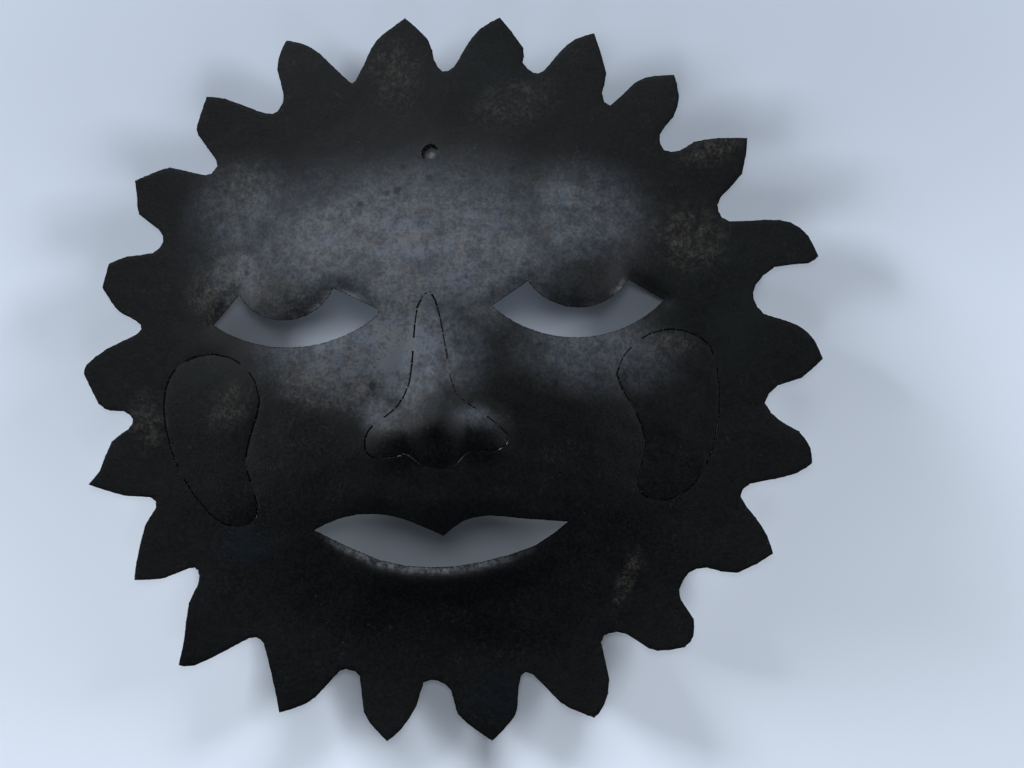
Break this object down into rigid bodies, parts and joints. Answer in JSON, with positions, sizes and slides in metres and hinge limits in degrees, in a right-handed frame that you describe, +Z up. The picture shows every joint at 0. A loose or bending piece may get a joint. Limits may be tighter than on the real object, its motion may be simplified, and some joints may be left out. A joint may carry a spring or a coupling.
{
  "type": "sun face wall hanging",
  "caption": "Round sun-face wall hanging of blackened sheet steel, domed and pierced, with chisel-cut rays around the rim.",
  "frame": {"origin": "middle of the half-moon hanging hole, in the plane of the wall that the back of the flat rim rests on", "axes": "+Z up as it hangs, the face looks along -Y, and +X is to the right as seen from the front"},
  "size_m": [0.5691, 0.0602, 0.559],
  "materials": {
    "blackened_steel": "oiled black scale on hammered sheet steel, mottled blue-grey and brown, satin"
  },
  "bodies": {
    "root": {"sun_sheet": "blackened_steel", "nose_panel": "blackened_steel", "left_cheek_panel": "blackened_steel", "right_cheek_panel": "blackened_steel"}
  },
  "joints": []
}
